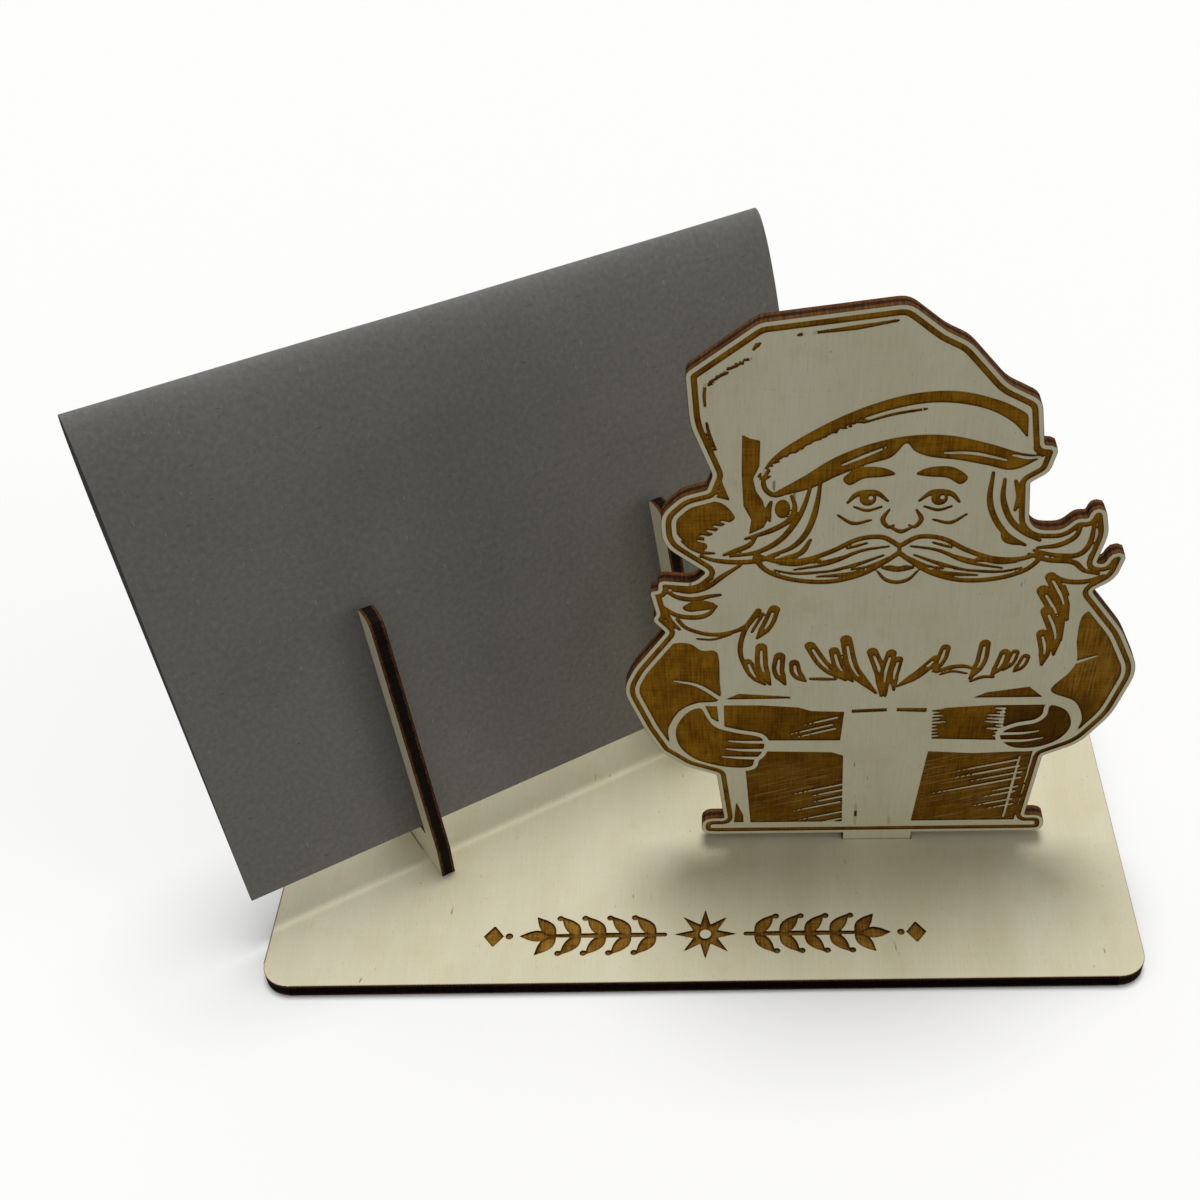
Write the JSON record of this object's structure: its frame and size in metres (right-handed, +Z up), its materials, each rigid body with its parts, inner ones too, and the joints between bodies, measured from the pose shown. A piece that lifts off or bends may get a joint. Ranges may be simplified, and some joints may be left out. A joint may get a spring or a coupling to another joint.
{
  "type": "gift card holder",
  "caption": "Plywood stand for a folded gift card: a flat base, an upright engraved figure panel and forked holders that lean the card back at an angle.",
  "frame": {"origin": "middle of the base plate's underside", "axes": "+X to the right along the base's front edge, -Y towards the front, where the figure looks, +Z up"},
  "size_m": [0.1985, 0.1167, 0.1303],
  "materials": {
    "birch_plywood": "raw, laser-cut edges charred dark brown",
    "engraved_plywood": "raw, laser-engraved brown",
    "grey_card": "matt"
  },
  "bodies": {
    "stand": {"base_plate": "birch_plywood", "figure_panel": "engraved_plywood", "left_card_holder": "birch_plywood", "right_card_holder": "birch_plywood"},
    "card": {"folded_card": "grey_card"}
  },
  "joints": [
    {"name": "card_lift", "type": "slide", "parent": "stand", "child": "card", "axis": [-0.1254, 0.1969, 0.9724], "range_m": [0, 0.065]}
  ]
}
